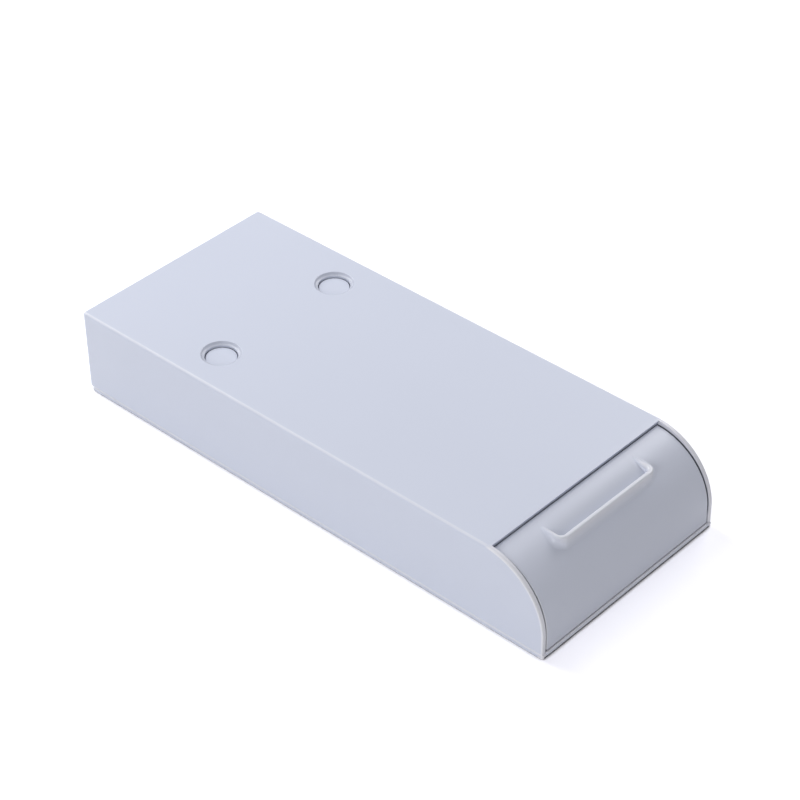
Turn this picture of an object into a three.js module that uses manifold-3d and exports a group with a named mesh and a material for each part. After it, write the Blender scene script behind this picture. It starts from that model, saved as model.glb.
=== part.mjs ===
// A low under-desk drawer in moulded plastic: a case with quarter-round cheeks and a drawer that slides out.
// Millimetres. +X is to the right, +Y to the rear, +Z up. The origin is the centre of the underside.
import * as THREE from 'three';
import { mergeVertices } from 'three/addons/utils/BufferGeometryUtils.js';
import Module from 'manifold-3d';

const wasm = await Module();
wasm.setup();

// Case
const caseWidth = 104;
const caseLength = 252;
const caseHeight = 40;
const sideWall = 2;
const rearWall = 2;
const topWall = 2.2;
const edgeRounding = 1.2;
const rearTopExtraRounding = 0.3;
const cheekRadius = 29.7;
const cheekSetback = 0.45;
const panelSetback = 28;

// Base plate
const slabThickness = 1.6;
const slabInset = 0.9;
const lipHeight = 3.4;
const lipDepth = 2.4;
const lipOverlap = 0.1;
const rimThickness = 1.6;
const railSideSetback = 14;
const railWidth = 3;
const railSetback = 6;

// Recesses in the top and their caps
const recessSideSetback = 18.7;
const recessRearSetback = 64.4;
const recessMouthRadius = 8.4;
const recessRadius = 7.35;
const recessMouthDepth = 1.1;
const capSink = 2;
const capThickness = 1.2;
const capChamfer = 0.3;
const recessFloor = 1.2;
const recessWall = 1.7;
const fixingHoleRadius = 2.1;

// Drawer front, whose quarter round follows the cheeks'
const faceInset = 2.3;
const faceSetback = 0.22;
const faceDrop = 1.83;
const faceThickness = 2.2;
const faceEndWall = 2;
const faceEdgeRounding = 0.4;
const faceSideGap = 0.8;
const facePanelGap = 0.6;
const faceLipGap = 0.7;

// Pull, a raised U on the drawer's front
const pullWidth = 56.8;
const pullSetback = 10.93;
const pullThickness = 1.6;
const pullCornerRadius = 3.5;
const pullDrop = 0.56;
const pullRounding = 0.5;
const pullLegLength = 12.4;

// Drawer tray
const trayFrontSetback = 26;
const trayRearSpace = 10.4;
const trayTopSpace = 2.9;
const traySideGap = 1;
const trayFloor = 1.8;
const traySideWall = 1.6;
const trayFrontWall = 2;
const trayRearWall = 1.8;

// Stop: the tongue on the tray meets the rib under the top, 175 mm out
const stopRibSetback = 34.5;
const tongueWidth = 24;
const tongueTopGap = 0.6;
const stopRibWidth = 28;
const stopRibThickness = 1.6;
const stopRibOverTray = 0.7;

// Screws
const screwShankRadius = 1.3;
const screwHeadRadius = 2.6;
const screwHeadHeight = 1.4;
const baseScrewLength = 9;
const frontScrewLength = 10;
const driveSlotWidth = 0.7;
const driveSlotLength = 3;
const driveSlotDepth = 0.8;
const bossWall = 1.4;
const screwTipGap = 0.7;
const padWall = 0.7;
const padClearance = 0.4;
const counterboreDepth = 1.9;
const bossWebThickness = 2;
const frontBossSideSetback = 19;
const frontBossRise = 16.9;

// Clearances
const seat = 0.3;
const slideGap = 0.3;
const overrun = 3;

// Facets
const arcSegments = 11;
const roundingSegments = 2;
const roundSegments = 32;
const boreSegments = 20;
const weldDistance = 1e-4;

// Places that several pieces share
const frontY = -caseLength / 2;
const rearY = caseLength / 2;
const innerHalfWidth = caseWidth / 2 - sideWall;
const innerRearY = rearY - rearWall;
const innerTopZ = caseHeight - topWall;
const rearTopRounding = edgeRounding + rearTopExtraRounding;
const cheekY = frontY + cheekSetback;
const panelY = frontY + panelSetback;
const wallFootZ = slabThickness + seat;
const faceHalfWidth = innerHalfWidth - faceSideGap;
const faceRadius = cheekRadius - faceInset;
const faceY = cheekY + faceSetback;
const faceTopZ = caseHeight - faceDrop;
const faceCentreY = faceY + faceRadius;
const faceCentreZ = faceTopZ - faceRadius;
const faceEndY = panelY - facePanelGap;
const drawerFootZ = lipHeight + faceLipGap;
const recessX = caseWidth / 2 - recessSideSetback;
const recessY = rearY - recessRearSetback;
const railX = innerHalfWidth - railSideSetback;
const trayFrontY = frontY + trayFrontSetback;
const trayRearY = innerRearY - trayRearSpace;
const trayHalfWidth = innerHalfWidth - traySideGap;
const trayTopZ = innerTopZ - trayTopSpace;
const tongueFrontY = trayRearY - trayRearWall;
const shankHoleRadius = screwShankRadius + seat;
const baseBossRadius = shankHoleRadius + bossWall;
const padRadius = screwHeadRadius + seat + padWall;
const baseBossX = innerHalfWidth - padRadius - padClearance;
const baseBossY = innerRearY - padRadius - padClearance;
const baseScrewNeckZ = counterboreDepth - seat;
const baseScrewTipZ = baseScrewNeckZ + baseScrewLength;
const frontBossRadius = shankHoleRadius + bossWall;
const frontBossX = trayHalfWidth - frontBossSideSetback;
const frontBossZ = drawerFootZ + frontBossRise;
const sides = [{ name: 'left', sign: -1 }, { name: 'right', sign: 1 }];

// Closed geometry to a solid that can be cut and joined, and back
function toSolid(geometry) {
  const bare = geometry.clone();
  bare.deleteAttribute('normal');
  bare.deleteAttribute('uv');
  const welded = mergeVertices(bare, weldDistance);
  const index = welded.getIndex().array;
  const triVerts = [];
  for (let i = 0; i < index.length; i += 3) {
    const [a, b, c] = [index[i], index[i + 1], index[i + 2]];
    if (a !== b && b !== c && c !== a) triVerts.push(a, b, c);
  }
  const mesh = new wasm.Mesh({
    numProp: 3,
    vertProperties: new Float32Array(welded.getAttribute('position').array),
    triVerts: new Uint32Array(triVerts),
  });
  return new wasm.Manifold(mesh);
}

function toGeometry(solid) {
  const { vertProperties, triVerts } = solid.getMesh();
  const geometry = new THREE.BufferGeometry();
  geometry.setAttribute('position', new THREE.BufferAttribute(vertProperties, 3));
  geometry.setIndex(new THREE.BufferAttribute(triVerts, 1));
  geometry.computeVertexNormals();
  return geometry;
}

// A box between two limits on each axis
function block(x, y, z) {
  const geometry = new THREE.BoxGeometry(x[1] - x[0], y[1] - y[0], z[1] - z[0]);
  geometry.translate((x[0] + x[1]) / 2, (y[0] + y[1]) / 2, (z[0] + z[1]) / 2);
  return toSolid(geometry);
}

// A round post standing along Z
function post(x, y, z, radius, segments) {
  const geometry = new THREE.CylinderGeometry(radius, radius, z[1] - z[0], segments);
  geometry.rotateX(Math.PI / 2);
  geometry.translate(x, y, (z[0] + z[1]) / 2);
  return toSolid(geometry);
}

// A round peg lying along Y
function peg(x, y, z, radius, segments) {
  const geometry = new THREE.CylinderGeometry(radius, radius, y[1] - y[0], segments);
  geometry.translate(x, (y[0] + y[1]) / 2, z);
  return toSolid(geometry);
}

// A turned solid standing along Z, from a profile of radius and height
function turned(x, y, profile) {
  const points = profile.map(([radius, z]) => new THREE.Vector2(radius, z));
  const geometry = new THREE.LatheGeometry(points, roundSegments);
  geometry.rotateX(Math.PI / 2);
  geometry.translate(x, y, 0);
  return toSolid(geometry);
}

// An outline drawn in Y and Z, extruded across the width with rounded end edges
function across(outline, width, rounding) {
  const depth = width - 2 * rounding;
  const geometry = new THREE.ExtrudeGeometry(outline, {
    depth,
    curveSegments: arcSegments,
    bevelEnabled: rounding > 0,
    bevelThickness: rounding,
    bevelSize: rounding,
    bevelOffset: -rounding,
    bevelSegments: roundingSegments,
  });
  geometry.translate(0, 0, -depth / 2);
  const yAxis = new THREE.Vector3(0, 1, 0);
  const zAxis = new THREE.Vector3(0, 0, 1);
  const xAxis = new THREE.Vector3(1, 0, 0);
  geometry.applyMatrix4(new THREE.Matrix4().makeBasis(yAxis, zAxis, xAxis));
  return toSolid(geometry);
}

// Crossed slots in a screw's head, for a block that lies on the head's face
function crossSlots(place) {
  const half = driveSlotLength / 2;
  const thin = driveSlotWidth / 2;
  return place([-half, half], [-thin, thin]).add(place([-thin, thin], [-half, half]));
}

// Case
function caseOutline() {
  const outline = new THREE.Shape();
  const footZ = wallFootZ - overrun;
  const cheekCentreZ = caseHeight - cheekRadius;
  const cornerY = rearY - rearTopRounding;
  const cornerZ = caseHeight - rearTopRounding;
  outline.moveTo(cheekY, footZ);
  outline.lineTo(cheekY, cheekCentreZ);
  outline.absarc(cheekY + cheekRadius, cheekCentreZ, cheekRadius, Math.PI, Math.PI / 2, true);
  outline.absarc(cornerY, cornerZ, rearTopRounding, Math.PI / 2, 0, true);
  outline.lineTo(rearY, footZ);
  outline.closePath();
  return outline;
}

function recessAt(x) {
  const mouthZ = caseHeight - recessMouthDepth;
  const floorZ = caseHeight - capSink - capThickness - seat;
  const cupZ = [floorZ - recessFloor, innerTopZ + topWall / 2];
  const cup = post(x, recessY, cupZ, recessRadius + recessWall, roundSegments);
  const space = turned(x, recessY, [
    [0, floorZ],
    [recessRadius, floorZ],
    [recessRadius, mouthZ],
    [recessMouthRadius, caseHeight],
    [recessMouthRadius, caseHeight + overrun],
    [0, caseHeight + overrun],
  ]);
  const hole = post(x, recessY, [floorZ - recessFloor - overrun, floorZ + seat], fixingHoleRadius, boreSegments);
  return { cup, space: space.add(hole) };
}

function baseBossAt(x) {
  const footZ = lipHeight + seat;
  const topZ = baseScrewTipZ + screwTipGap + bossWall;
  const half = bossWebThickness / 2;
  const column = post(x, baseBossY, [footZ, topZ], baseBossRadius, roundSegments);
  const web = block([x - half, x + half], [baseBossY, innerRearY + rearWall / 2], [footZ, topZ]);
  const hole = post(x, baseBossY, [footZ - overrun, topZ - bossWall], shankHoleRadius, boreSegments);
  return column.add(web).subtract(hole);
}

function caseShell() {
  const inner = [-innerHalfWidth, innerHalfWidth];
  const beyondFront = frontY - overrun;
  const belowFoot = wallFootZ - 2 * overrun;
  const stopY = panelY + stopRibSetback;
  let shell = across(caseOutline(), caseWidth, edgeRounding);
  shell = shell.subtract(block([-caseWidth, caseWidth], [-caseLength, caseLength], [belowFoot, wallFootZ]));
  shell = shell.subtract(block(inner, [beyondFront, innerRearY], [belowFoot, innerTopZ]));
  shell = shell.subtract(block(inner, [beyondFront, panelY], [belowFoot, caseHeight + overrun]));
  const stopHalf = stopRibWidth / 2;
  const stopZ = [trayTopZ + stopRibOverTray, innerTopZ + topWall / 2];
  shell = shell.add(block([-stopHalf, stopHalf], [stopY - stopRibThickness, stopY], stopZ));
  for (const { sign } of sides) {
    const { cup, space } = recessAt(sign * recessX);
    shell = shell.add(cup).subtract(space).add(baseBossAt(sign * baseBossX));
  }
  return shell;
}

function cap(sign) {
  const topZ = caseHeight - capSink;
  const radius = recessRadius - seat;
  return turned(sign * recessX, recessY, [
    [0, topZ - capThickness],
    [radius, topZ - capThickness],
    [radius, topZ - capChamfer],
    [radius - capChamfer, topZ],
    [0, topZ],
  ]);
}

// Base plate
function basePlate() {
  const slabHalf = caseWidth / 2 - slabInset;
  const rimHalf = innerHalfWidth - seat;
  const rimRear = innerRearY - seat;
  const rimZ = [slabThickness - lipOverlap, lipHeight];
  const screwHeadZ = [-overrun, counterboreDepth];
  const screwHoleZ = [-overrun, lipHeight + overrun];
  let plate = block([-slabHalf, slabHalf], [frontY + slabInset, rearY - slabInset], [0, slabThickness]);
  const rimHollow = block(
    [-rimHalf + rimThickness, rimHalf - rimThickness],
    [frontY + lipDepth, rimRear - rimThickness],
    [slabThickness - overrun, lipHeight + overrun],
  );
  plate = plate.add(block([-rimHalf, rimHalf], [frontY, rimRear], rimZ).subtract(rimHollow));
  for (const { sign } of sides) {
    const middleX = sign * railX;
    const railY = [frontY + railSetback, rimRear - railSetback];
    const railZ = [slabThickness - lipOverlap, drawerFootZ - slideGap];
    plate = plate.add(block([middleX - railWidth / 2, middleX + railWidth / 2], railY, railZ));
    const bossX = sign * baseBossX;
    plate = plate.add(post(bossX, baseBossY, rimZ, padRadius, roundSegments));
    plate = plate.subtract(post(bossX, baseBossY, screwHeadZ, screwHeadRadius + seat, roundSegments));
    plate = plate.subtract(post(bossX, baseBossY, screwHoleZ, shankHoleRadius, boreSegments));
  }
  return plate;
}

function baseScrew(sign) {
  const x = sign * baseBossX;
  const faceZ = baseScrewNeckZ - screwHeadHeight;
  const shankZ = [baseScrewNeckZ - screwHeadHeight / 2, baseScrewTipZ];
  const head = post(x, baseBossY, [faceZ, baseScrewNeckZ], screwHeadRadius, boreSegments);
  const shank = post(x, baseBossY, shankZ, screwShankRadius, boreSegments);
  const slots = crossSlots((u, v) => block(
    [x + u[0], x + u[1]],
    [baseBossY + v[0], baseBossY + v[1]],
    [faceZ - overrun, faceZ + driveSlotDepth],
  ));
  return head.add(shank).subtract(slots);
}

// Drawer front: its outlines rise from a foot and follow the quarter round to an end angle
function riseAlongFace(outline, radius, footZ, endAngle) {
  const startZ = Math.max(faceCentreZ, footZ);
  const startAngle = Math.PI - Math.asin((startZ - faceCentreZ) / radius);
  const startY = faceCentreY + radius * Math.cos(startAngle);
  outline.moveTo(startY, footZ);
  outline.lineTo(startY, startZ);
  outline.absarc(faceCentreY, faceCentreZ, radius, startAngle, endAngle, true);
}

function faceOutline() {
  const outline = new THREE.Shape();
  const stepZ = trayTopZ + seat;
  riseAlongFace(outline, faceRadius, drawerFootZ, Math.acos((faceEndY - faceCentreY) / faceRadius));
  outline.lineTo(faceEndY, stepZ);
  outline.lineTo(trayFrontY - seat, stepZ);
  outline.lineTo(trayFrontY - seat, drawerFootZ);
  outline.closePath();
  return outline;
}

function faceHollowOutline() {
  const outline = new THREE.Shape();
  const innerRadius = faceRadius - faceThickness;
  const ceilingZ = trayTopZ + seat;
  const endAngle = Math.PI - Math.asin((ceilingZ - faceCentreZ) / innerRadius);
  riseAlongFace(outline, innerRadius, drawerFootZ + faceThickness, endAngle);
  outline.lineTo(trayFrontY + overrun, ceilingZ);
  outline.lineTo(trayFrontY + overrun, drawerFootZ + faceThickness);
  outline.closePath();
  return outline;
}

// The pull's outline in plan, open to the rear
function pullOutline() {
  const outline = new THREE.Shape();
  const half = pullWidth / 2;
  const barY = faceY + pullSetback;
  const endY = barY + pullLegLength;
  const innerHalf = half - pullThickness;
  const innerRadius = pullCornerRadius - pullThickness;
  const cornerX = half - pullCornerRadius;
  const cornerY = barY + pullCornerRadius;
  outline.moveTo(-half, endY);
  outline.lineTo(-half, cornerY);
  outline.absarc(-cornerX, cornerY, pullCornerRadius, Math.PI, 1.5 * Math.PI, false);
  outline.absarc(cornerX, cornerY, pullCornerRadius, 1.5 * Math.PI, 2 * Math.PI, false);
  outline.lineTo(half, endY);
  outline.lineTo(innerHalf, endY);
  outline.absarc(cornerX, cornerY, innerRadius, 0, -Math.PI / 2, true);
  outline.absarc(-cornerX, cornerY, innerRadius, -Math.PI / 2, -Math.PI, true);
  outline.lineTo(-innerHalf, endY);
  outline.closePath();
  return outline;
}

function pull() {
  const topZ = faceTopZ - pullDrop;
  const geometry = new THREE.ExtrudeGeometry(pullOutline(), {
    depth: topZ - pullRounding - faceCentreZ,
    curveSegments: roundingSegments,
    bevelEnabled: true,
    bevelThickness: pullRounding,
    bevelSize: pullRounding,
    bevelOffset: -pullRounding,
    bevelSegments: roundingSegments,
  });
  geometry.translate(0, 0, faceCentreZ);
  return toSolid(geometry);
}

function drawerFront() {
  const blank = across(faceOutline(), 2 * faceHalfWidth, faceEdgeRounding);
  const hollow = across(faceHollowOutline(), 2 * (faceHalfWidth - faceEndWall), 0);
  let front = blank.add(pull()).subtract(hollow);
  for (const { sign } of sides) {
    const x = sign * frontBossX;
    const rear = trayFrontY - seat;
    const holeY = [rear - frontScrewLength, rear + overrun];
    const column = peg(x, [faceY, rear], frontBossZ, frontBossRadius, roundSegments);
    const hole = peg(x, holeY, frontBossZ, shankHoleRadius, boreSegments);
    front = front.add(column.intersect(blank)).subtract(hole);
  }
  return front;
}

function frontScrew(sign) {
  const x = sign * frontBossX;
  const neckY = trayFrontY + trayFrontWall + seat;
  const faceEnd = neckY + screwHeadHeight;
  const shankY = [neckY - frontScrewLength, neckY + screwHeadHeight / 2];
  const head = peg(x, [neckY, faceEnd], frontBossZ, screwHeadRadius, boreSegments);
  const shank = peg(x, shankY, frontBossZ, screwShankRadius, boreSegments);
  const slots = crossSlots((u, v) => block(
    [x + u[0], x + u[1]],
    [faceEnd - driveSlotDepth, faceEnd + overrun],
    [frontBossZ + v[0], frontBossZ + v[1]],
  ));
  return head.add(shank).subtract(slots);
}

// Drawer tray
function drawerTray() {
  const half = trayHalfWidth;
  const innerHalf = half - traySideWall;
  const innerY = [trayFrontY + trayFrontWall, tongueFrontY];
  const innerZ = [drawerFootZ + trayFloor, trayTopZ + overrun];
  const tongueZ = [trayTopZ - overrun, innerTopZ - tongueTopGap];
  let tray = block([-half, half], [trayFrontY, trayRearY], [drawerFootZ, trayTopZ]);
  tray = tray.subtract(block([-innerHalf, innerHalf], innerY, innerZ));
  tray = tray.add(block([-tongueWidth / 2, tongueWidth / 2], [tongueFrontY, trayRearY], tongueZ));
  for (const { sign } of sides) {
    const x = sign * frontBossX;
    const holeY = [trayFrontY - overrun, trayFrontY + trayFrontWall + seat];
    tray = tray.subtract(peg(x, holeY, frontBossZ, shankHoleRadius, boreSegments));
  }
  return tray;
}

// Materials
const casePlastic = new THREE.MeshStandardMaterial({ color: 0xc9cfde, roughness: 0.55, metalness: 0 });
const drawerPlastic = new THREE.MeshStandardMaterial({ color: 0xc5cbda, roughness: 0.5, metalness: 0 });
const screwSteel = new THREE.MeshStandardMaterial({ color: 0x9a9ea3, roughness: 0.35, metalness: 0.9 });

function piece(name, solid, material) {
  const mesh = new THREE.Mesh(toGeometry(solid), material);
  mesh.name = name;
  return mesh;
}

const drawerUnit = new THREE.Group();
const fixedCase = new THREE.Group();
const drawer = new THREE.Group();
drawerUnit.add(fixedCase, drawer);
fixedCase.add(piece('case_shell', caseShell(), casePlastic));
fixedCase.add(piece('base_plate', basePlate(), casePlastic));
drawer.add(piece('drawer_front', drawerFront(), drawerPlastic));
drawer.add(piece('drawer_tray', drawerTray(), drawerPlastic));
for (const { name, sign } of sides) {
  fixedCase.add(piece(`cap_${name}`, cap(sign), casePlastic));
  fixedCase.add(piece(`base_screw_${name}`, baseScrew(sign), screwSteel));
  drawer.add(piece(`front_screw_${name}`, frontScrew(sign), screwSteel));
}

export default drawerUnit;
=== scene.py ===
import math

import bmesh
import bpy
from mathutils import Matrix, Vector


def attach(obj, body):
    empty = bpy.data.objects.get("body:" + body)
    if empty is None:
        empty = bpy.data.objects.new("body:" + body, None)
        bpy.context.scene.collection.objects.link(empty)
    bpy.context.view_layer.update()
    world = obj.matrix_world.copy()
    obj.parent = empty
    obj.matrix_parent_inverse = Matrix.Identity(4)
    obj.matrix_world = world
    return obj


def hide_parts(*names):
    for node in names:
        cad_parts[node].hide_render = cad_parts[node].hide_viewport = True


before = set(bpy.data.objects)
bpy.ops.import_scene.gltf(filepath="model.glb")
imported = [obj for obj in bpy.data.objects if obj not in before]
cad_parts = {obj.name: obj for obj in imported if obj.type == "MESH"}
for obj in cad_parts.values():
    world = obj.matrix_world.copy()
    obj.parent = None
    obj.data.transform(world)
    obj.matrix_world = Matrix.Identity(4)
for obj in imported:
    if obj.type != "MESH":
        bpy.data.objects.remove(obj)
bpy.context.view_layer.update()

mm = 0.001
scene = bpy.context.scene
print("frame loaded:", ", ".join(sorted(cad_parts)))


# Camera, in millimetres and degrees
cameraView = {
    "place": (-577.0, -545.4, 639.8), "azimuth": -46.9648, "elevation": 37.6084, "roll": -0.83623,
    "lens": 111.38, "sensor": 36.0, "nearest": 50.0, "farthest": 20000.0,
}


def makeCamera(view):
    azimuth = math.radians(view["azimuth"])
    elevation = math.radians(view["elevation"])
    roll = math.radians(view["roll"])
    back = Vector((
        math.sin(azimuth) * math.cos(elevation),
        -math.cos(azimuth) * math.cos(elevation),
        math.sin(elevation),
    ))
    right = Vector((0, 0, 1)).cross(back).normalized()
    up = back.cross(right)
    turnedRight = right * math.cos(roll) + up * math.sin(roll)
    turnedUp = up * math.cos(roll) - right * math.sin(roll)
    data = bpy.data.cameras.new("camera")
    data.sensor_width = view["sensor"]
    data.lens = view["lens"]
    data.clip_start = view["nearest"] * mm
    data.clip_end = view["farthest"] * mm
    camera = bpy.data.objects.new("camera", data)
    turn = Matrix((turnedRight, turnedUp, back)).transposed().to_4x4()
    camera.matrix_world = Matrix.Translation(Vector(view["place"]) * mm) @ turn
    scene.collection.objects.link(camera)
    scene.camera = camera


makeCamera(cameraView)
print("camera placed")


# Node trees
def linear(red, green, blue):  # a screen colour from 0 to 255, as the shader takes it
    parts = [part / 255 for part in (red, green, blue)]
    return [part / 12.92 if part <= 0.04045 else ((part + 0.055) / 1.055) ** 2.4 for part in parts] + [1]


class Wire:  # a number socket that takes part in sums
    def __init__(self, finish, socket):
        self.finish = finish
        self.socket = socket

    def joined(self, operation, first, second):
        made = self.finish.node("ShaderNodeMath", {"operation": operation}, {0: first, 1: second})
        return Wire(self.finish, made.outputs[0])

    def __add__(self, other):
        return self.joined("ADD", self, other)

    def __radd__(self, other):
        return self.joined("ADD", other, self)

    def __sub__(self, other):
        return self.joined("SUBTRACT", self, other)

    def __rsub__(self, other):
        return self.joined("SUBTRACT", other, self)

    def __mul__(self, other):
        return self.joined("MULTIPLY", self, other)

    def __rmul__(self, other):
        return self.joined("MULTIPLY", other, self)

    def size(self):
        return self.joined("ABSOLUTE", self, 0)

    def least(self, other):
        return self.joined("MINIMUM", self, other)

    def root(self):
        return self.joined("SQRT", self, 0)

    def between(self, low, high, kind="SMOOTHSTEP"):  # 0 at low, 1 at high
        made = self.finish.node("ShaderNodeMapRange", {"interpolation_type": kind}, {
            "Value": self, "From Min": low, "From Max": high,
        })
        return Wire(self.finish, made.outputs[0])


class Nodes:  # makes the nodes of one tree
    def __init__(self, tree):
        self.tree = tree
        self.tree.nodes.clear()

    def node(self, kind, settings=None, sockets=None):
        made = self.tree.nodes.new(kind)
        for key, value in (settings or {}).items():
            setattr(made, key, value)
        for key, value in (sockets or {}).items():
            if isinstance(value, Wire):
                value = value.socket
            if isinstance(value, bpy.types.NodeSocket):
                self.tree.links.new(value, made.inputs[key])
            else:
                made.inputs[key].default_value = value
        return made

    def result(self, output, kind, settings=None, sockets=None):  # one output of a new node
        return self.node(kind, settings, sockets).outputs[output]


class Finish(Nodes):  # the nodes of one material or of the world
    def __init__(self, holder):
        holder.use_nodes = True
        self.holder = holder
        super().__init__(holder.node_tree)

    def number(self, output, kind, settings=None, sockets=None):
        return Wire(self, self.result(output, kind, settings, sockets))

    def noise(self, place, scale, detail, roughness=0.5):
        return self.number(0, "ShaderNodeTexNoise", {}, {
            "Vector": place, "Scale": scale, "Detail": detail, "Roughness": roughness,
        })

    def mix(self, factor, first, second):  # of two colours
        return self.result("Result", "ShaderNodeMix", {"data_type": "RGBA"}, {
            "Factor": factor, "A": first, "B": second,
        })

    def end(self, kind, shader):
        self.node(kind, {}, {"Surface": shader})
        return self.holder


# Sizes that both the materials and the pieces use, in millimetres as all sizes of the pieces
rounds = {  # the quarter rounds of the drawer's face and of the case's cheeks, with centres in Y and Z
    "faceY": -97.93, "faceZ": 10.77, "faceRadius": 27.4,
    "cheekY": -95.85, "cheekZ": 10.3, "cheekRadius": 29.7,
}
recess = {  # the round recesses in the top
    "x": 33.3, "y": 61.6, "floor": 36.5, "radius": 6.85, "cupRadius": 9.05, "cupFoot": 35.3,
    "landInner": 38.85, "landOuter": 39.2, "landRadius": 7.85, "mouth": 8.5, "mouthSlope": 0.05,
    "softness": 0.3, "softSteps": 5, "fixingHole": 2.1, "holeFoot": 33.0, "holeTop": 37.0,
    "past": 2.0,  # how far the cut stands over the top
}


def measuresOf(finish, place):  # what the tones of the plastic go by
    split = finish.node("ShaderNodeSeparateXYZ", {}, {"Vector": place})
    x, y, z = [Wire(finish, split.outputs[axis]) * (1 / mm) for axis in "XYZ"]
    side = x.size()
    faceAway, faceUp = (y - rounds["faceY"]).least(0), z - rounds["faceZ"]
    cheekAway, cheekUp = (y - rounds["cheekY"]).least(0), (rounds["cheekZ"] - z).least(0)
    across, along = side - recess["x"], y - recess["y"]
    return {
        "side": side, "y": y, "z": z,
        "underFace": rounds["faceRadius"] - (faceAway * faceAway + faceUp * faceUp).root(),
        "underCheek": rounds["cheekRadius"] - (cheekAway * cheekAway + cheekUp * cheekUp).root(),
        "fromRecess": (across * across + along * along).root(),
        "wearAndSheen": finish.number("Fac", "ShaderNodeAttribute", {"attribute_name": "wearAndSheen"}),
    }


def covered(measures, areas):  # the areas add up, and the steps of an area multiply
    parts = []
    for share, *steps in areas:
        part = share
        for name, *limits in steps:
            part = part * (measures[name].between(*limits) if limits else measures[name])
        parts.append(part)
    return sum(parts)


# Satin moulded plastic, with a fine grain from the tool and a slow change of tone
def satinPlastic(name, look):
    finish = Finish(bpy.data.materials.new(name))
    place = finish.result("Object", "ShaderNodeTexCoord")
    slow = finish.noise(place, look["toneScale"], 2.0)
    grain = finish.noise(place, look["grainScale"], 3.0, 0.55)
    measures = measuresOf(finish, place)
    colour = finish.mix(slow, linear(*look["darker"]), linear(*look["lighter"]))
    # the tones paint shade and light into the plastic's colour, each in its own areas
    for tone, areas in look["tones"]:
        colour = finish.mix(covered(measures, areas), colour, linear(*tone))
    roughness = (slow - 0.5) * look["toneRoughness"] + (grain - 0.5) * look["grainRoughness"]
    roughness = roughness + look["roughness"] - measures["wearAndSheen"] * look["polish"]
    normal = finish.result("Normal", "ShaderNodeBump", {}, {
        "Height": grain, "Strength": look["grainStrength"], "Distance": look["grainDepth"] * mm,
    })
    surface = finish.result(0, "ShaderNodeBsdfPrincipled", {}, {
        "Base Color": colour, "Roughness": roughness, "Normal": normal, "IOR": 1.46,
        "Specular IOR Level": look["specular"],
        "Coat Weight": look["coat"], "Coat Roughness": look["coatRoughness"],
    })
    return finish.end("ShaderNodeOutputMaterial", surface)


# Zinc-plated steel, turned and a little uneven
def zincSteel(name, look):
    finish = Finish(bpy.data.materials.new(name))
    place = finish.result("Object", "ShaderNodeTexCoord")
    patches = finish.noise(place, look["patchScale"], 4.0)
    turning = finish.noise(place, look["turningScale"], 2.0)
    normal = finish.result("Normal", "ShaderNodeBump", {}, {
        "Height": turning, "Strength": look["turningStrength"], "Distance": look["turningDepth"] * mm,
    })
    surface = finish.result(0, "ShaderNodeBsdfPrincipled", {}, {
        "Base Color": finish.mix(patches, linear(*look["darker"]), linear(*look["lighter"])),
        "Metallic": 1.0,
        "Roughness": patches * look["patchRoughness"] + look["roughness"],
        "Normal": normal,
    })
    return finish.end("ShaderNodeOutputMaterial", surface)


# A tone is a colour and its areas. An area is its share of the tone and its steps, each from nothing at the
# first limit to all at the second. A step without limits takes the measure as it is.
lipFront = (("y", -125.2, -125.35), ("side", 49.9, 49.6), ("z", 3.1, 2.9))
plastic = {
    "grainScale": 2600.0, "grainStrength": 0.12, "grainDepth": 0.02,
    "roughness": 0.43, "toneRoughness": 0.08, "grainRoughness": 0.08, "polish": 0.1,
    "specular": 0.5, "coat": 0.25, "coatRoughness": 0.2,
}
casePlastic = satinPlastic("casePlastic", dict(
    plastic, darker=(205, 211, 227), lighter=(207, 213, 229), toneScale=16.0,
    tones=[
        ((112, 115, 126), [  # painted shade: darker inside the case, on the cheeks' inner faces beside the drawer front, round the recesses' rings and on the lip's top under the drawer front
            (1.0, ("side", 50.12, 50.02), ("underFace", 0.0, 0.5), ("z", 38.0, 37.9)),
            (0.24, ("fromRecess", 6.7, 6.8), ("fromRecess", 8.6, 8.4), ("z", 39.99, 39.9)),
            (1.0, ("y", -125.6, -125.4), ("side", 50.5, 50.0), ("z", 2.6, 2.7), ("z", 3.2, 3.1)),
        ]),
        ((224, 225, 234), [  # painted light on the cheeks' rims
            (1.0, ("side", 49.9, 49.98), ("side", 51.96, 51.8), ("y", -97.0, -99.5), ("underFace", 0.2, 0.0)),
        ]),
        ((235, 236, 242), [  # painted highlights along the edges of the cheeks and the top, along the foot and on the lip
            (0.7, ("underCheek", 0.85, 0.55), ("side", 51.2, 51.5), ("y", -96.0, -99.0)),
            (0.38, ("side", 50.5, 50.9), ("side", 51.8, 51.5), ("z", 39.1, 39.5), ("y", -99.0, -96.0)),
            (0.66, ("side", 51.2, 51.6), ("z", 2.8, 2.5), ("z", 1.5, 1.7)),
            (0.3, *lipFront),
            (0.6, *lipFront, ("z", 2.5, 2.7)),
        ]),
    ],
))
drawerPlastic = satinPlastic("drawerPlastic", dict(
    plastic, darker=(203, 208, 223), lighter=(205, 210, 225), toneScale=18.0,
    tones=[
        ((190, 195, 209), [  # painted shade in the pocket behind the pull
            (1.0, ("side", 27.2, 24.0), ("underFace", -0.4, -0.05),
             ("y", -113.0, -112.0), ("y", -101.0, -110.0)),
        ]),
        ((230, 231, 236), [  # painted highlight on the pull and painted light along the front's side edges
            (0.62, ("wearAndSheen",)),
            (0.7, ("side", 48.85, 49.05), ("underFace", 0.8, 0.3)),
        ]),
    ],
))
screwSteel = zincSteel("screwSteel", {
    "darker": (168, 171, 176), "lighter": (196, 198, 202), "patchScale": 900.0, "patchRoughness": 0.14,
    "roughness": 0.32, "turningScale": 3000.0, "turningStrength": 0.15, "turningDepth": 0.02,
})
print("materials made")


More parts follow.
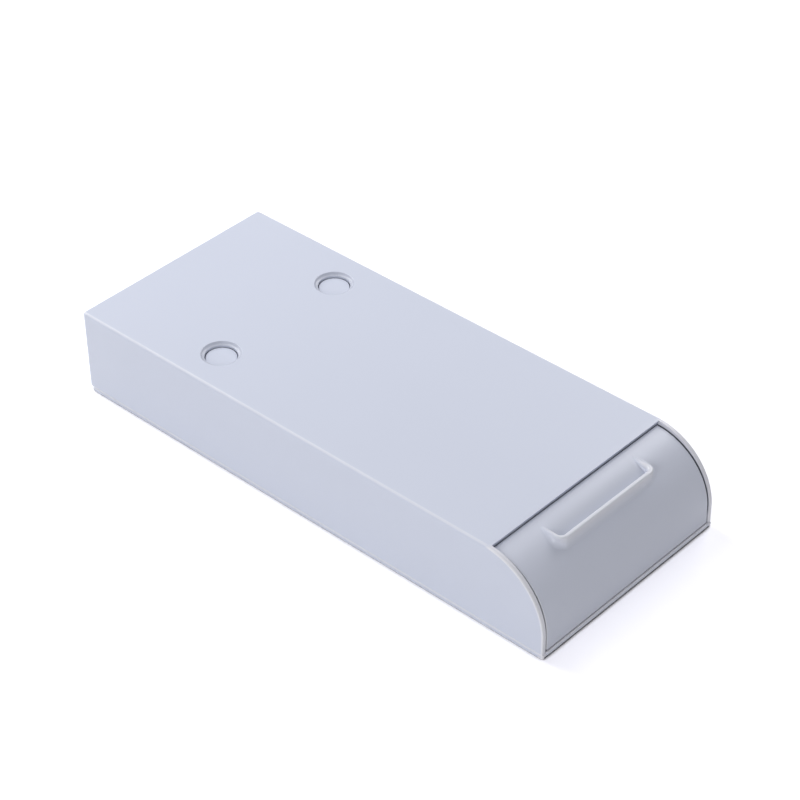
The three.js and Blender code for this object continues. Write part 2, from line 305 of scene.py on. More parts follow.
# Mesh helpers
def cleanMesh(mesh, distance):  # doubles merged and faces turned outwards
    work = bmesh.new()
    work.from_mesh(mesh)
    bmesh.ops.remove_doubles(work, verts=work.verts, dist=distance * mm)
    bmesh.ops.recalc_face_normals(work, faces=work.faces)
    work.to_mesh(mesh)
    work.free()


def skin(name, rings):  # closed rings of one length, joined in order and closed at both ends
    count = len(rings[0])
    faces = []
    for step in range(len(rings) - 1):
        low, high = step * count, (step + 1) * count
        for k in range(count):
            n = (k + 1) % count
            faces.append((low + k, low + n, high + n, high + k))
    faces.append(tuple(range(count)))
    faces.append(tuple(range((len(rings) - 1) * count, len(rings) * count)))
    mesh = bpy.data.meshes.new(name)
    mesh.from_pydata([Vector(point) * mm for ring in rings for point in ring], [], faces)
    cleanMesh(mesh, 0.0001)
    piece = bpy.data.objects.new(name, mesh)
    scene.collection.objects.link(piece)
    return piece


def prism(name, outline, x):  # an outline in Y and Z, drawn out from side to side
    return skin(name, [[(end, *place) for place in outline] for end in x])


def block(name, x, y, z):
    corners = ((x[0], y[0]), (x[1], y[0]), (x[1], y[1]), (x[0], y[1]))
    return skin(name, [[(*corner, height) for corner in corners] for height in z])


def turned(name, x, y, profile, segments):  # radius and height, upright
    angles = [2 * math.pi * k / segments for k in range(segments)]
    return skin(name, [
        [(x + radius * math.cos(a), y + radius * math.sin(a), z) for a in angles] for radius, z in profile
    ])


def post(name, x, y, radius, z, segments=40):  # a round peg standing up
    return turned(name, x, y, [(radius, z[0]), (radius, z[1])], segments)


def peg(name, x, z, radius, y, segments=40):  # a round peg lying front to back
    angles = [2 * math.pi * k / segments for k in range(segments)]
    return skin(name, [
        [(x + radius * math.cos(a), depth, z + radius * math.sin(a)) for a in angles] for depth in y
    ])


def roundedRing(x, y, z, radius, inset=0, steps=8):  # a rectangle drawn in by inset, with round corners
    left, right = x[0] + inset + radius, x[1] - inset - radius
    front, rear = y[0] + inset + radius, y[1] - inset - radius
    ring = []
    for k, (centreX, centreY) in enumerate(((right, rear), (left, rear), (left, front), (right, front))):
        for step in range(steps + 1):
            a = math.pi / 2 * (k + step / steps)
            ring.append((centreX + radius * math.cos(a), centreY + radius * math.sin(a), z))
    return ring


def arc(centreY, centreZ, radius, start, end, steps):  # degrees, in Y and Z
    angles = [math.radians(start + (end - start) * k / steps) for k in range(steps + 1)]
    return [(centreY + radius * math.cos(a), centreZ + radius * math.sin(a)) for a in angles]


def quarterTurn(steps):
    return [math.pi / 2 * k / steps for k in range(steps + 1)]


def roundedEdge(radius, steps):  # how far in and how far down each point of it lies, from the side to the top
    return [(radius * (1 - math.cos(a)), radius * (1 - math.sin(a))) for a in quarterTurn(steps)]


def insets(outline, depths):  # each corner moved inwards; the outline runs clockwise seen from +X
    moved = []
    count = len(outline)
    for k in range(count):
        here = Vector(outline[k])
        before = (here - Vector(outline[k - 1])).normalized()
        after = (Vector(outline[(k + 1) % count]) - here).normalized()
        first = Vector((before.y, -before.x))
        second = Vector((after.y, -after.x))
        moved.append(here + (first + second) / (1 + first.dot(second)) * depths[k])
    return moved


# An outline in Y and Z made as wide as the piece, with its side edges rounded towards the inner outline
def acrossSkin(name, outline, inner, rounding, halfWidth, steps=8):
    angles = quarterTurn(steps)
    rings = []
    for side, order in ((-1, angles), (1, angles[::-1])):
        for a in order:
            ring = []
            for edge, inset, radius in zip(outline, inner, rounding):
                place = Vector(inset) + (Vector(edge) - Vector(inset)) * math.sin(a)
                ring.append((side * (halfWidth - radius * (1 - math.cos(a))), place.x, place.y))
            rings.append(ring)
    return skin(name, rings)


def settle(piece):  # the modifiers become the mesh
    bpy.context.view_layer.update()
    graph = bpy.context.evaluated_depsgraph_get()
    made = bpy.data.meshes.new_from_object(piece.evaluated_get(graph))
    old = piece.data
    piece.modifiers.clear()
    piece.data = made
    bpy.data.meshes.remove(old)
    made.name = piece.name


def carve(piece, tools, operation="DIFFERENCE"):
    for tool in tools:
        cut = piece.modifiers.new("cut", "BOOLEAN")
        cut.object = tool
        cut.operation = operation
        cut.solver = "EXACT"
        settle(piece)
        bpy.data.objects.remove(tool)


def near(first, second):  # in millimetres
    return abs(first - second) < 0.01


def softenEdges(piece, width, wanted, leastAngle=28, segments=3):  # wanted takes an edge's middle
    work = bmesh.new()
    work.from_mesh(piece.data)
    edges = []
    for edge in work.edges:
        if len(edge.link_faces) == 2 and edge.calc_face_angle(0) > math.radians(leastAngle):
            if wanted((edge.verts[0].co + edge.verts[1].co) / 2 / mm):
                edges.append(edge)
    bmesh.ops.bevel(
        work, geom=edges, offset=width * mm, offset_type="OFFSET", segments=segments,
        profile=0.5, affect="EDGES", clamp_overlap=False,
    )
    work.to_mesh(piece.data)
    work.free()


def dress(piece, material, body, nodes, sharpAngle=32):
    piece.data.shade_smooth()
    piece.data.set_sharp_from_angle(angle=math.radians(sharpAngle))
    even = piece.modifiers.new("even", "WEIGHTED_NORMAL")
    even.keep_sharp = True
    settle(piece)
    piece.data.materials.clear()
    piece.data.materials.append(material)
    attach(piece, body)
    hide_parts(*nodes)
    print(piece.name, "made:", len(piece.data.polygons), "faces")


# Case: top, cheeks, side walls and rear wall in one moulding
case = {
    "halfWidth": 52.0, "rear": 126.0, "top": 40.0, "foot": 2.25,
    "cheekFront": -125.55, "cheekRadius": rounds["cheekRadius"], "cheekSteps": 56,
    "cheekRounding": 0.45, "topRounding": 1.4, "roundingPower": 4,  # from one to the other along the cheek
    "rearRounding": 2.2, "rearTopRounding": 1.5, "rearTopSteps": 6,
    "innerHalf": 50.0, "innerRear": 124.0, "innerTop": 37.8, "panelFront": -98.2, "panelBrow": -98.7,
    "openFront": -130.0, "openFoot": -5.0, "openTop": 45.0,  # the hollow's cut, past the case
    "panelEdge": 0.16, "rimEdge": 0.15, "footEdge": 0.3,
    "ribHalf": 14.0, "ribRear": -63.5, "ribThickness": 1.6, "ribFoot": 35.6, "rootTop": 39.0,
    "bossX": 46.0, "bossY": 120.0, "bossRadius": 3.0, "bossFoot": 3.7, "bossTop": 12.7,
    "bossHole": 1.6, "bossRoof": 1.4, "webHalf": 1.0, "webRear": 125.0,
}


def recessProfile(r):
    corners = [
        Vector((r["radius"], r["landInner"])),
        Vector((r["landRadius"], r["landOuter"])),
        Vector((r["mouth"], case["top"])),
    ]
    slants = [(b - a).normalized() for a, b in zip(corners, corners[1:])]
    ways = [Vector((0, 1)), *slants, Vector((1, r["mouthSlope"]))]
    points = [(r["radius"], r["floor"])]
    for corner, before, after in zip(corners, ways, ways[1:]):
        start, end = corner - before * r["softness"], corner + after * r["softness"]
        for k in range(r["softSteps"] + 1):
            t = k / r["softSteps"]
            place = start * (1 - t) ** 2 + corner * 2 * t * (1 - t) + end * t * t
            points.append((place.x, place.y))
    return points + [(points[-1][0], case["top"] + r["past"])]


def caseOutline(c):  # with the inner outline and the rounding at each point
    cheekY = c["cheekFront"] + c["cheekRadius"]
    cheekZ = c["top"] - c["cheekRadius"]
    cheek = arc(cheekY, cheekZ, c["cheekRadius"], 180, 90, c["cheekSteps"])
    sharp = [(c["cheekFront"], c["foot"]), *cheek, (c["rear"], c["top"]), (c["rear"], c["foot"])]
    steps = len(cheek) - 1
    growth = c["topRounding"] - c["cheekRounding"]
    depths = [c["cheekRounding"] + growth * (k / steps) ** c["roundingPower"] for k in range(steps + 1)]
    depths = [c["cheekRounding"], *depths, c["topRounding"], c["rearRounding"]]
    inner = insets(sharp, depths)
    inner[0] = Vector((c["cheekFront"] + c["cheekRounding"], c["foot"]))
    inner[-1] = Vector((c["rear"] - c["rearRounding"], c["foot"]))
    inner[-2] = Vector((c["rear"] - c["rearRounding"], c["top"] - c["topRounding"]))
    radius, last = c["rearTopRounding"], c["rearTopSteps"]
    corner = arc(c["rear"] - radius, c["top"] - radius, radius, 90, 0, last)
    growth = c["rearRounding"] - c["topRounding"]
    cornerDepths = [c["topRounding"] + growth * k / last for k in range(last + 1)]
    outline = sharp[:-2] + corner + sharp[-1:]
    inner = inner[:-2] + [inner[-2]] * (last + 1) + inner[-1:]
    return outline, inner, depths[:-2] + cornerDepths + depths[-1:]


def makeCase(c):
    shell = acrossSkin("caseShell", *caseOutline(c), c["halfWidth"])
    half = c["innerHalf"]
    lean = (c["panelBrow"] - c["panelFront"]) / (c["top"] - c["innerTop"])
    browPast = c["panelBrow"] + lean * (c["openTop"] - c["top"])
    space = [
        (c["openFront"], c["openFoot"]), (c["openFront"], c["openTop"]), (browPast, c["openTop"]),
        (c["panelFront"], c["innerTop"]), (c["innerRear"], c["innerTop"]), (c["innerRear"], c["openFoot"]),
    ]
    hollow = prism("hollow", space, (-half, half))
    ribDepth = (c["ribRear"] - c["ribThickness"], c["ribRear"])
    kept = [block("rib", (-c["ribHalf"], c["ribHalf"]), ribDepth, (c["ribFoot"], c["rootTop"]))]
    cuts = []
    bossHeight = (c["bossFoot"], c["bossTop"])
    for side in (-1, 1):
        x, y = side * recess["x"], recess["y"]
        bossX, bossY = side * c["bossX"], c["bossY"]
        webWidth = (bossX - c["webHalf"], bossX + c["webHalf"])
        kept.append(post("cup", x, y, recess["cupRadius"], (recess["cupFoot"], c["rootTop"]), 64))
        kept.append(post("boss", bossX, bossY, c["bossRadius"], bossHeight, 64))
        kept.append(block("web", webWidth, (bossY, c["webRear"]), bossHeight))
        cuts.append(turned("recess", x, y, recessProfile(recess), 96))
        cuts.append(post("fixing", x, y, recess["fixingHole"], (recess["holeFoot"], recess["holeTop"])))
        cuts.append(post("bore", bossX, bossY, c["bossHole"], (0, c["bossTop"] - c["bossRoof"])))
    carve(hollow, kept)
    carve(shell, [hollow] + cuts)

    def onFoot(p):
        return near(p.z, c["foot"]) and (abs(p.x) > half + 0.5 or p.y > c["innerRear"] + 0.5)

    def onRim(p):
        return near(abs(p.x), half) and p.y < c["panelBrow"] - 0.01 and p.z > c["foot"] + 0.1

    softenEdges(shell, c["footEdge"], onFoot)
    softenEdges(shell, c["rimEdge"], onRim)
    softenEdges(shell, c["panelEdge"], lambda p: near(p.y, c["panelBrow"]) and near(p.z, c["top"]))
    dress(shell, casePlastic, "case", ["case_shell"])


makeCase(case)


# Drawer front: a quarter-round panel with a raised U for a pull
face = {
    "halfWidth": 49.2, "centreY": rounds["faceY"], "centreZ": rounds["faceZ"], "radius": rounds["faceRadius"],
    "foot": 4.1, "end": -98.75, "step": 35.2, "rear": -100.3, "rounding": 0.3, "steps": 80,
    "apronFoot": 3.3, "apronFront": -125.48, "apronRear": -122.6, "apronSlope": 0.4,  # closes down on the lip
    "thickness": 2.2, "endWall": 2.0, "hollowSteps": 24, "hollowPast": 3.0,
    "bossX": 30.0, "bossZ": 21.0, "bossRadius": 3.0, "bossFront": -130.0,
    "bossHole": 1.6, "holeFront": -110.0, "holeRear": -90.0,
}
pull = {
    "half": 27.6, "barY": -113.7, "halfThickness": 1.12, "cornerRadius": 2.9, "top": 37.61, "landing": 0.04,
    "crestOutside": 0.8, "crestInside": 1.1, "filletOutside": 3.0, "filletInside": 0.9, "filletStart": 0.03,
    "sink": 0.05, "root": 0.8,
    "legSteps": 26, "cornerSteps": 14, "barSteps": 8, "crestSteps": 8, "filletSteps": 12,
    "wearSheenInside": 1.5, "wearSheenOutside": 4.5, "wearSheenBack": 0.5, "wearSheenPast": 4.0,
}


def faceHeight(y):  # height and slope of the quarter round at a depth
    away = min(y - face["centreY"], 0)
    rise = math.sqrt(face["radius"] ** 2 - away ** 2)
    return face["centreZ"] + rise, -away / rise


def solved(test, low, high):  # where test turns from negative to positive
    for _ in range(50):
        middle = (low + high) / 2
        low, high = (middle, high) if test(middle) < 0 else (low, middle)
    return low


def pullSide(y, outY, crest, fillet):  # one side of the pull, as offset and height from the crest to the face
    half = pull["halfThickness"]
    least = half - crest
    crestCentre = Vector((least, pull["top"] - crest))

    def filletCentre(offset):
        height, slope = faceHeight(y + outY * offset)
        slope *= outY
        size = math.sqrt(1 + slope ** 2)
        return Vector((offset - fillet * slope / size, height - pull["sink"] + fillet / size)), slope

    offset = solved(lambda d: filletCentre(d)[0].x - half - fillet, least, half + 3 * fillet)
    start = 0.0
    if filletCentre(offset)[0].y > crestCentre.y:  # too low for a straight wall: crest and fillet meet
        offset = solved(lambda d: (filletCentre(d)[0] - crestCentre).length - crest - fillet, least, offset)
        between = filletCentre(offset)[0] - crestCentre
        start = math.atan2(between.y, between.x)
    centre, slope = filletCentre(offset)
    end = math.atan2(1, -slope)
    run = []
    for k in range(pull["crestSteps"] + 1):
        a = math.pi / 2 + (start - math.pi / 2) * k / pull["crestSteps"]
        run.append((crestCentre.x + crest * math.cos(a), crestCentre.y + crest * math.sin(a)))
    first = pull["filletStart"]
    for k in range(pull["filletSteps"] + 1):
        a = start + (end - start) * (first + (1 - first) * k / pull["filletSteps"])
        run.append((centre.x - fillet * math.cos(a), centre.y - fillet * math.sin(a)))
    return run


def pullPath(p):  # places along the U and the way that its outer side faces
    drop = p["top"] + p["landing"] - face["centreZ"]
    endY = face["centreY"] - math.sqrt(face["radius"] ** 2 - drop ** 2)
    radius = p["cornerRadius"]
    cornerX, cornerY = p["half"] - radius, p["barY"] + radius
    shares = [(k / p["legSteps"]) ** 2 for k in range(p["legSteps"])]
    leg = [(-p["half"], endY - (endY - cornerY) * share, -1, 0) for share in shares]
    corner = []
    for a in quarterTurn(p["cornerSteps"]):
        outX, outY = -math.cos(a), -math.sin(a)
        corner.append((-cornerX + radius * outX, cornerY + radius * outY, outX, outY))
    bar = [(-cornerX + 2 * cornerX * k / p["barSteps"], p["barY"], 0, -1) for k in range(1, p["barSteps"])]
    left = leg + corner
    return left + bar + [(-x, y, -outX, outY) for x, y, outX, outY in reversed(left)]


def makePull(p):
    rings = []
    for x, y, outX, outY in pullPath(p):
        outside = pullSide(y, outY, p["crestOutside"], p["filletOutside"])
        inside = pullSide(y, -outY, p["crestInside"], p["filletInside"])
        section = [(-offset, height) for offset, height in reversed(inside)] + outside
        section += [(offset, height - p["root"]) for offset, height in (section[-1], section[0])]
        rings.append([(x + outX * offset, y + outY * offset, height) for offset, height in section])
    return skin("pull", rings)


def makeFront(f):
    endAngle = math.degrees(math.acos((f["end"] - f["centreY"]) / f["radius"]))
    outline = [
        (f["apronFront"], f["apronFoot"]),
        *arc(f["centreY"], f["centreZ"], f["radius"], 180, endAngle, f["steps"]),
        (f["end"], f["step"]), (f["rear"], f["step"]), (f["rear"], f["foot"]),
        (f["apronRear"] + f["apronSlope"], f["foot"]), (f["apronRear"], f["apronFoot"]),
    ]
    rounding = [f["rounding"]] * len(outline)
    panel = acrossSkin("drawerFront", outline, insets(outline, rounding), rounding, f["halfWidth"], 4)
    carve(panel, [makePull(pull)], "UNION")

    inner = f["radius"] - f["thickness"]
    footZ = f["foot"] + f["thickness"]
    stopAngle = 180 - math.degrees(math.asin((f["step"] - f["centreZ"]) / inner))
    rear = f["rear"] + f["hollowPast"]
    section = [
        (f["centreY"] - inner, footZ),
        *arc(f["centreY"], f["centreZ"], inner, 180, stopAngle, f["hollowSteps"]),
        (rear, f["step"]), (rear, footZ),
    ]
    half = f["halfWidth"] - f["endWall"]
    hollow = prism("hollow", section, (-half, half))
    sides = [side * f["bossX"] for side in (-1, 1)]
    carve(hollow, [peg("boss", x, f["bossZ"], f["bossRadius"], (f["bossFront"], f["rear"])) for x in sides])
    depths = (f["holeFront"], f["holeRear"])
    carve(panel, [hollow] + [peg("bore", x, f["bossZ"], f["bossHole"], depths) for x in sides])
    dress(panel, drawerPlastic, "drawer", ["drawer_front"], 34)
    markWearAndSheen(panel, f, pull)


def markWearAndSheen(panel, f, p):  # how much each point of the pull is worn smoother and painted lighter as a highlight, by how proud it stands
    wearAndSheen = panel.data.attributes.new("wearAndSheen", "FLOAT", "POINT")
    for k, vertex in enumerate(panel.data.vertices):
        x, y, z = vertex.co / mm
        proud = math.hypot(y - f["centreY"], z - f["centreZ"]) - f["radius"]
        behindBar = y > p["barY"] + p["wearSheenBack"] and abs(x) < p["half"]
        reach = p["wearSheenInside"] if behindBar else p["wearSheenOutside"]
        wearAndSheen.data[k].value = min(max(proud / reach, 0), 1) if abs(x) < p["half"] + p["wearSheenPast"] else 0


makeFront(face)


# Drawer tray: an open box with rounded corners and a stop tongue on its rear wall
tray = {
    "halfWidth": 49.0, "front": -100.0, "rear": 113.6, "foot": 4.1, "top": 34.9,
    "cornerRadius": 1.6, "footRounding": 1.1, "rimRounding": 0.4, "roundingSteps": 6,
    "innerHalf": 47.4, "innerFront": -98.0, "innerRear": 111.8, "floor": 5.9,
    "innerCorner": 2.4, "floorFillet": 1.8,
    "tongueHalf": 12.0, "tongueTop": 37.2, "tongueFoot": 30.0, "tongueCorner": 1.5, "tongueInset": 0.02,
    "holeX": 30.0, "holeZ": 21.0, "holeRadius": 1.6, "holePast": 2.0,
}


def makeTray(t):
    rings = []

    def outer(inset, z):
        x, y = (-t["halfWidth"], t["halfWidth"]), (t["front"], t["rear"])
        rings.append(roundedRing(x, y, z, t["cornerRadius"] - inset, inset))

    def inner(inset, z):
        x, y = (-t["innerHalf"], t["innerHalf"]), (t["innerFront"], t["innerRear"])
        rings.append(roundedRing(x, y, z, t["innerCorner"] - inset, inset))

    steps = t["roundingSteps"]
    rim = roundedEdge(t["rimRounding"], steps)
    for rise, inset in roundedEdge(t["footRounding"], steps):
        outer(inset, t["foot"] + rise)
    for inset, drop in rim:
        outer(inset, t["top"] - drop)
    for inset, drop in reversed(rim):
        inner(-inset, t["top"] - drop)
    for inset, rise in roundedEdge(t["floorFillet"], steps):
        inner(inset, t["floor"] + rise)
    box = skin("drawerTray", rings)

    half, foot, corner = t["tongueHalf"], t["tongueFoot"], t["tongueCorner"]
    ends = arc(half - corner, t["tongueTop"] - corner, corner, 0, 90, steps)
    shape = [(-half, foot), (half, foot), *ends, *[(-x, z) for x, z in reversed(ends)]]
    depths = (t["innerRear"] + t["tongueInset"], t["rear"] - t["tongueInset"])
    carve(box, [skin("tongue", [[(x, y, z) for x, z in shape] for y in depths])], "UNION")
    depths = (t["front"] - t["holePast"], t["innerFront"] + t["holePast"])
    carve(box, [peg("hole", side * t["holeX"], t["holeZ"], t["holeRadius"], depths) for side in (-1, 1)])
    dress(box, drawerPlastic, "drawer", ["drawer_tray"])


makeTray(tray)


# Base plate: a slab with a rim, whose front is the lip under the drawer, and two rails
plate = {
    "half": 51.96, "front": -125.96, "rear": 125.96, "edge": 0.12, "taper": 0.22,
    "ledgeEdge": 0.6, "ledgeTop": 2.2, "edgeSteps": 4, "frontCorner": 0.5, "rearCorner": 4.0,
    "leastCorner": 0.06, "cornerSteps": 6,
    "innerTop": 1.6, "cornerHalf": 50.9, "footFront": -123.95,
    "openFront": -130.0, "openFoot": -2.0, "openTop": 6.0, "lipOpenTop": 5.0,  # cuts, past the plate
    "rimHalf": 49.7, "rimRear": 123.7, "rimTop": 2.74, "rimThickness": 1.6, "rimEdge": 0.12, "rimCorner": 0.5,
    "lipFront": -126.0, "lipRear": -123.6, "lipFoot": 1.08, "lipEdge": 0.06,
    "railX": 36.0, "railHalf": 1.5, "railFront": -120.0, "railRear": 117.7, "railTop": 3.8, "railCorner": 1.2,
    "railEdge": ((0, 0.4), (0.12, 0.12), (0.4, 0)), "root": 1.2,
    "screwX": 46.0, "screwY": 120.0, "padRadius": 3.6, "padInset": 0.01,
    "headHole": 2.9, "headDepth": 1.9, "shankHole": 1.6,
}


def makePlate(p):
    half, thick, corners, steps = p["rimHalf"], p["rimThickness"], p["cornerSteps"], p["edgeSteps"]

    def ring(inset, z):
        x, y = (-p["half"], p["half"]), (p["front"], p["rear"])
        front = roundedRing(x, y, z, max(p["frontCorner"] - inset, p["leastCorner"]), inset, corners)
        rear = roundedRing(x, y, z, p["rearCorner"] - inset, inset, corners)
        rearCount = 2 * (corners + 1)
        return rear[:rearCount] + front[rearCount:]

    rings = [ring(p["taper"] + inset, rise) for rise, inset in roundedEdge(p["edge"], steps)]
    rings += [ring(inset, p["ledgeTop"] - drop) for inset, drop in roundedEdge(p["ledgeEdge"], steps)]
    slab = skin("basePlate", rings)
    levels = [(p["lipEdge"], p["lipFoot"]), (0, p["lipFoot"] + p["lipEdge"])]
    levels += [(inset, p["rimTop"] - drop) for inset, drop in roundedEdge(p["rimEdge"], steps)]
    x, y = (-half, half), (p["lipFront"], p["rimRear"])
    rim = skin("rim", [roundedRing(x, y, z, p["rimCorner"], inset, corners) for inset, z in levels])
    depths = (p["openFront"], p["footFront"])
    carve(slab, [
        block("underLip", (-p["cornerHalf"], p["cornerHalf"]), depths, (p["openFoot"], p["lipFoot"])),
        block("behindLip", (-half, half), depths, (p["openFoot"], p["lipOpenTop"])),
    ])
    carve(slab, [rim], "UNION")
    inside = (p["lipRear"], p["rimRear"] - thick)
    carve(slab, [block("inside", (-half + thick, half - thick), inside, (p["innerTop"], p["openTop"]))])

    added, cuts = [], []
    for side in (-1, 1):
        x = (side * p["railX"] - p["railHalf"], side * p["railX"] + p["railHalf"])
        y = (p["railFront"], p["railRear"])
        levels = [(0, p["root"])] + [(inset, p["railTop"] - drop) for inset, drop in p["railEdge"]]
        rail = [roundedRing(x, y, z, p["railCorner"] - inset, inset) for inset, z in levels]
        added.append(skin("rail", rail))
        x, y = side * p["screwX"], p["screwY"]
        added.append(post("pad", x, y, p["padRadius"], (p["root"], p["rimTop"] - p["padInset"]), 56))
        cuts.append(post("headHole", x, y, p["headHole"], (p["openFoot"], p["headDepth"]), 48))
        cuts.append(post("shankHole", x, y, p["shankHole"], (p["openFoot"], p["openTop"])))
    carve(slab, added, "UNION")
    carve(slab, cuts)
    dress(slab, casePlastic, "case", ["base_plate"])


makePlate(plate)


# Turned pieces that repeat: a profile is turned, slotted if need be, and set in a row
def turnedRowTree(axle=0.01, merged=0.03):
    tree = bpy.data.node_groups.new("turnedRow", "GeometryNodeTree")
    for label, kind in (
        ("Profile", "Geometry"), ("First place", "Vector"), ("Step", "Vector"), ("Count", "Int"),
        ("Turn", "Vector"), ("Segments", "Int"), ("Slotted", "Bool"), ("Slot width", "Float"),
        ("Slot length", "Float"), ("Slot depth", "Float"), ("Material", "Material"),
    ):
        tree.interface.new_socket(label, in_out="INPUT", socket_type="NodeSocket" + kind)
    tree.interface.new_socket("Pieces", in_out="OUTPUT", socket_type="NodeSocketGeometry")

    nodes = Nodes(tree)
    made = nodes.result
    given = nodes.node("NodeGroupInput").outputs
    profile = made("Curve", "GeometryNodeMeshToCurve", {}, {"Mesh": given["Profile"]})
    rail = made("Curve", "GeometryNodeCurvePrimitiveCircle", {}, {
        "Resolution": given["Segments"], "Radius": axle * mm,
    })
    sides = made("Mesh", "GeometryNodeCurveToMesh", {}, {"Curve": rail, "Profile Curve": profile})
    body = made("Geometry", "GeometryNodeMergeByDistance", {}, {"Geometry": sides, "Distance": merged * mm})
    cut = body
    for first, second in (("Slot width", "Slot length"), ("Slot length", "Slot width")):
        size = made("Vector", "ShaderNodeCombineXYZ", {}, {
            "X": given[first], "Y": given[second], "Z": given["Slot depth"],
        })
        bar = made("Mesh", "GeometryNodeMeshCube", {}, {"Size": size})
        cut = made("Mesh", "GeometryNodeMeshBoolean", {"operation": "DIFFERENCE", "solver": "EXACT"}, {
            "Mesh 1": cut, "Mesh 2": bar,
        })
    chosen = made("Output", "GeometryNodeSwitch", {"input_type": "GEOMETRY"}, {
        "Switch": given["Slotted"], "False": body, "True": cut,
    })
    places = made("Mesh", "GeometryNodeMeshLine", {"mode": "OFFSET"}, {
        "Count": given["Count"], "Start Location": given["First place"], "Offset": given["Step"],
    })
    turn = made("Rotation", "FunctionNodeEulerToRotation", {}, {"Euler": given["Turn"]})
    row = made("Instances", "GeometryNodeInstanceOnPoints", {}, {
        "Points": places, "Instance": chosen, "Rotation": turn,
    })
    real = made("Geometry", "GeometryNodeRealizeInstances", {}, {"Geometry": row})
    coloured = made("Geometry", "GeometryNodeSetMaterial", {}, {
        "Geometry": real, "Material": given["Material"],
    })
    nodes.node("NodeGroupOutput", {}, {"Pieces": coloured})
    return tree


def makeRow(name, tree, row, profile, material, body, nodes):
    mesh = bpy.data.meshes.new(name)
    points = [(radius * mm, -height * mm, 0) for radius, height in profile]  # the rail turns it upside down
    mesh.from_pydata(points, [(k, k + 1) for k in range(len(points) - 1)], [])
    piece = bpy.data.objects.new(name, mesh)
    scene.collection.objects.link(piece)
    step = piece.modifiers.new("row", "NODES")
    step.node_group = tree
    values = {
        "First place": Vector(row["first"]) * mm, "Step": Vector(row["step"]) * mm, "Count": row["count"],
        "Turn": Vector(row["turn"]), "Segments": row["segments"], "Slotted": row["slotWidth"] > 0,
        "Slot width": row["slotWidth"] * mm, "Slot length": row["slotLength"] * mm,
        "Slot depth": row["slotDepth"] * 2 * mm, "Material": material,
    }
    for socket in tree.interface.items_tree:
        if socket.in_out == "INPUT" and socket.name in values:
            step[socket.identifier] = values[socket.name]
    settle(piece)
    cleanMesh(piece.data, 0.001)
    dress(piece, material, body, nodes)


rowTree = turnedRowTree()

# Caps in the recesses
caps = {
    "first": (-recess["x"], recess["y"], 36.8), "step": (2 * recess["x"], 0, 0), "count": 2,
    "turn": (0, 0, 0), "segments": 96, "slotWidth": 0, "slotLength": 0, "slotDepth": 0,
    "radius": 6.55, "thickness": 1.3, "edge": 0.3, "edgeSteps": 5,
}


def capOutline(c):
    rounding = roundedEdge(c["edge"], c["edgeSteps"])
    edge = [(c["radius"] - inset, c["thickness"] - drop) for inset, drop in rounding]
    return [(0, 0), (c["radius"], 0), *edge, (0, c["thickness"])]


makeRow(
    "recessCaps", rowTree, caps, capOutline(caps), casePlastic,
    "case", ["cap_left", "cap_right"],
)


# Screws, with the ridges of their threads and a cross slot
baseScrews = {
    "first": (-46.0, 120.0, 0.2), "step": (92.0, 0, 0), "count": 2, "turn": (0, 0, 0), "segments": 40,
    "slotWidth": 0.7, "slotLength": 3.0, "slotDepth": 0.8,
    "headRadius": 2.6, "headHeight": 1.4, "headEdge": ((0.45, 0), (0.18, 0.08), (0, 0.3)),
    "shankRadius": 1.3, "length": 9.0, "neck": 0.6, "plain": 1.0, "tipLength": 0.8, "tipRadius": 0.4,
    "pitch": 0.8, "threadDepth": 0.2, "ridge": (0, 0.4, 0.55, 0.95),
}
frontScrews = dict(
    baseScrews, first=(-30.0, -96.3, 21.0), step=(60.0, 0, 0), turn=(math.pi / 2, 0, 0), length=10.0,
)


def threaded(s):  # a screw's outline from its face to its tip
    head, shank, under = s["headRadius"], s["shankRadius"], s["headHeight"]
    groove = shank - s["threadDepth"]
    edge = [(head - inset, drop) for inset, drop in s["headEdge"]]
    points = [(0, 0), *edge, (head, under), (groove, under)]
    z = under + s["neck"]
    while z + s["pitch"] < under + s["length"] - s["plain"]:
        for radius, share in zip((groove, shank, shank, groove), s["ridge"]):
            points.append((radius, z + s["pitch"] * share))
        z += s["pitch"]
    tip = under + s["length"]
    return points + [(groove, tip - s["tipLength"]), (s["tipRadius"], tip), (0, tip)]


for name, screws, body, nodes in (
    ("baseScrews", baseScrews, "case", ["base_screw_left", "base_screw_right"]),
    ("frontScrews", frontScrews, "drawer", ["front_screw_left", "front_screw_right"]),
):
    makeRow(name, rowTree, screws, threaded(screws), screwSteel, body, nodes)


# Floor and light, in metres
studio = {
    "floorHalf": 1.6, "floorColour": (249, 249, 248),
    # painted contact shadow: the floor's colour darkens towards the pieces by ambient occlusion, glowSteps
    # cut the glow back there the same way, and the glow's lavender shows in that painted shade
    "paintedShadowColour": (120, 120, 128), "paintedShadowSteps": (0.3, 0.5), "paintedShadowReach": 0.004, "paintedShadowSamples": 12,
    "glowColour": (0.85, 0.85, 1.0, 1), "glow": 0.44, "glowSteps": (0.5, 0.63),
    "farGlow": 0.6, "farSteps": (0.3, 1.2),
    "ambient": 0.25, "ambientColour": (1.0, 0.99, 1.0, 1), "lampColour": (1.0, 0.995, 1.0),
}
lamps = {
    "rear": {"place": (-0.05, 1.0, 0.65), "size": 0.55, "power": 5.45},
    "rearHigh": {"place": (-0.05, 0.65, 1.0), "size": 0.5, "power": 2.6},
    "right": {"place": (1.0, 0.1, 0.75), "size": 0.7, "power": 5.75},
    "left": {"place": (-1.02, -0.33, 0.5), "size": 0.6, "power": 4.8},
}


def directRays(finish):  # the camera's, and those of gloss and of clear things
    seen = finish.node("ShaderNodeLightPath").outputs
    return sum(Wire(finish, seen["Is " + kind + " Ray"]) for kind in ("Camera", "Glossy", "Transmission"))


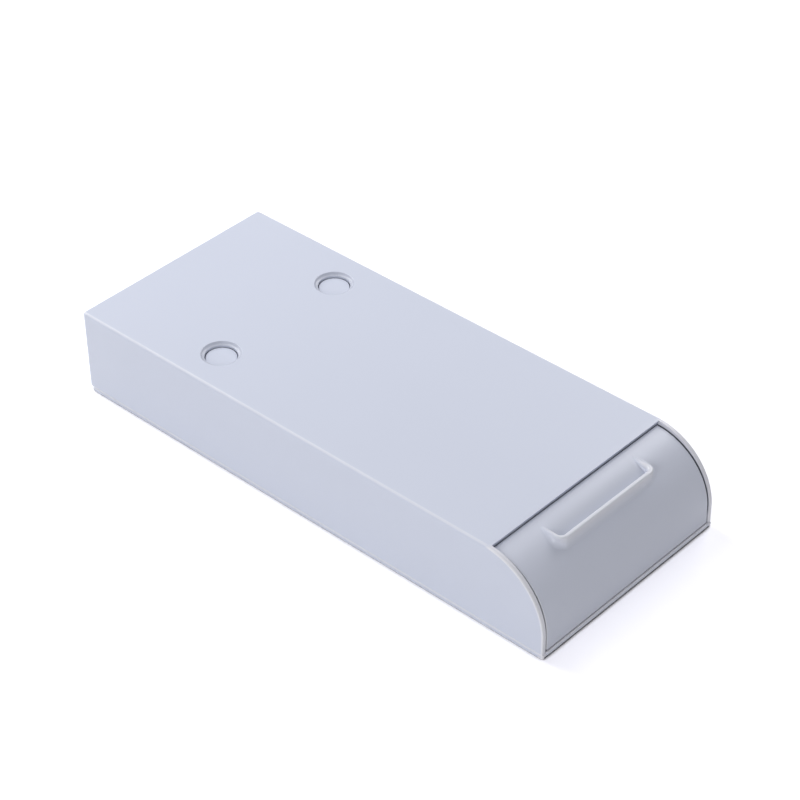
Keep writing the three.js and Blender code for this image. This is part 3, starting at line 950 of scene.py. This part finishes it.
def makeFloor(s):
    half = s["floorHalf"]
    mesh = bpy.data.meshes.new("floor")
    corners = [(-half, -half, 0), (half, -half, 0), (half, half, 0), (-half, half, 0)]
    mesh.from_pydata(corners, [], [(0, 1, 2, 3)])
    floor = bpy.data.objects.new("floor", mesh)
    scene.collection.objects.link(floor)
    finish = Finish(bpy.data.materials.new("floorWhite"))
    # painted contact shadow: ambient occlusion darkens the floor's colour and cuts back its glow near the
    # pieces
    clear = finish.number("AO", "ShaderNodeAmbientOcclusion", {"samples": s["paintedShadowSamples"]}, {
        "Distance": s["paintedShadowReach"],
    })
    airy = clear.between(*s["paintedShadowSteps"])
    ground = finish.mix(airy, linear(*s["paintedShadowColour"]), linear(*s["floorColour"]))
    matt = finish.result(0, "ShaderNodeBsdfDiffuse", {}, {"Color": ground})
    place = finish.result("Object", "ShaderNodeTexCoord")
    distance = finish.number("Value", "ShaderNodeVectorMath", {"operation": "LENGTH"}, {0: place})
    strength = distance.between(*s["farSteps"]) * s["farGlow"] + s["glow"]
    strength = directRays(finish) * clear.between(*s["glowSteps"], "LINEAR") * strength
    glow = finish.result(0, "ShaderNodeEmission", {}, {"Color": s["glowColour"], "Strength": strength})
    both = finish.result(0, "ShaderNodeAddShader", {}, {0: matt, 1: glow})
    mesh.materials.append(finish.end("ShaderNodeOutputMaterial", both))


def makeWorld(s):
    world = bpy.data.worlds.new("studio")
    scene.world = world
    finish = Finish(world)
    white = finish.result(0, "ShaderNodeBackground", {}, {"Color": (1, 1, 1, 1), "Strength": 1.0})
    soft = finish.result(0, "ShaderNodeBackground", {}, {
        "Color": s["ambientColour"], "Strength": s["ambient"],
    })
    mixed = finish.result(0, "ShaderNodeMixShader", {}, {0: directRays(finish), 1: soft, 2: white})
    finish.end("ShaderNodeOutputWorld", mixed)


def makeLamp(name, lamp, colour):
    data = bpy.data.lights.new(name, "AREA")
    data.shape = "DISK"
    data.size = lamp["size"]
    data.energy = lamp["power"]
    data.color = colour
    made = bpy.data.objects.new(name, data)
    made.location = lamp["place"]
    made.rotation_euler = (-Vector(lamp["place"])).to_track_quat("-Z", "Y").to_euler()
    scene.collection.objects.link(made)


makeFloor(studio)
makeWorld(studio)
for name, lamp in lamps.items():
    makeLamp(name, lamp, studio["lampColour"])
scene.view_settings.view_transform = "Standard"
print("studio made")
